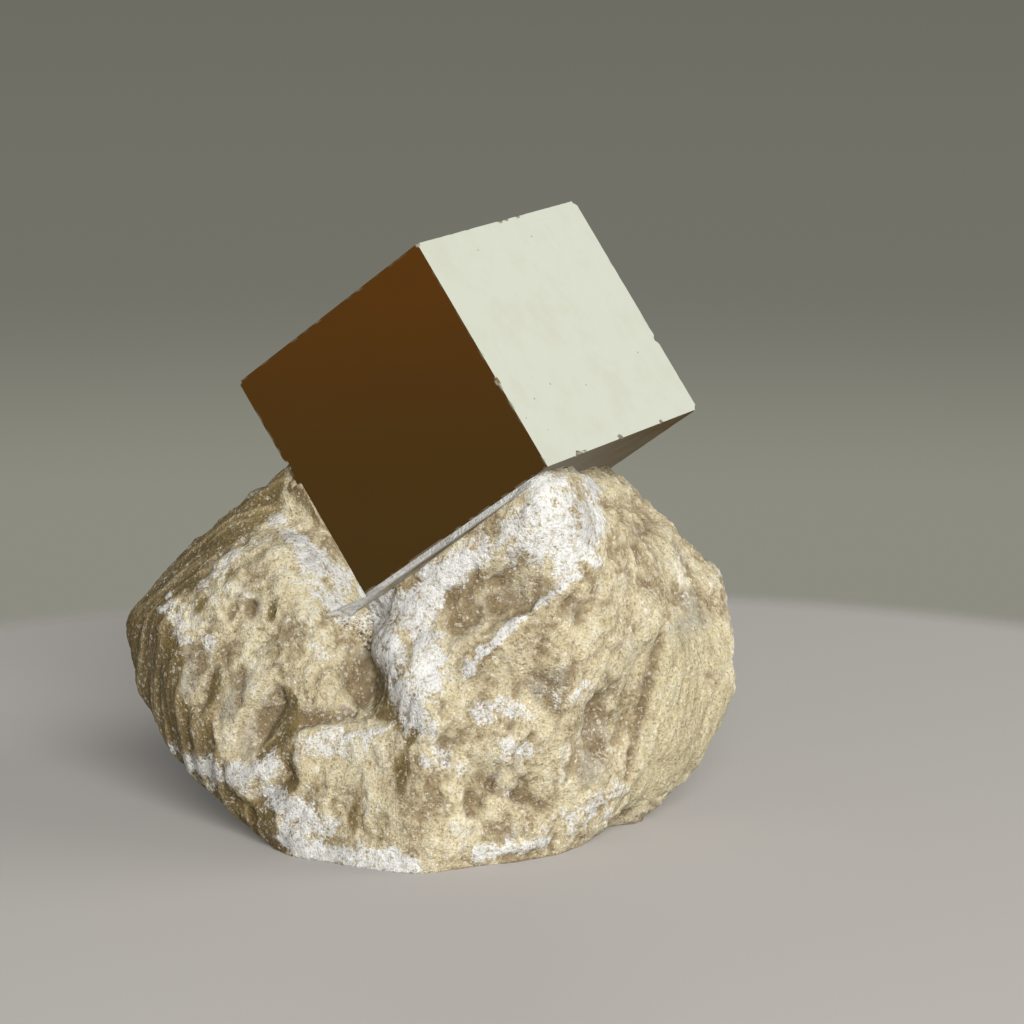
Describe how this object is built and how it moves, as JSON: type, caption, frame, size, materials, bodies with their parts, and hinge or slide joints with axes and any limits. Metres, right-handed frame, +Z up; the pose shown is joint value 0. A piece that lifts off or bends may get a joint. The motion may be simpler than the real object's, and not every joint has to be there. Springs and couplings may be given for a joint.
{
  "type": "pyrite specimen",
  "caption": "Pyrite specimen: a bright, sharp-edged cubic crystal set corner-down in a broken lump of pale granular rock that rests on a flat underside.",
  "frame": {"origin": "middle of the footprint box, on the flat underside", "axes": "+Z up, +X to the right and +Y to the back as the specimen is shown from the front"},
  "size_m": [0.0448, 0.038, 0.0439],
  "materials": {
    "pyrite": "natural mirror-bright metallic crystal faces",
    "rock": "rough broken granular"
  },
  "bodies": {
    "root": {"pyrite_crystal": "pyrite", "rock_matrix": "rock"}
  },
  "joints": []
}
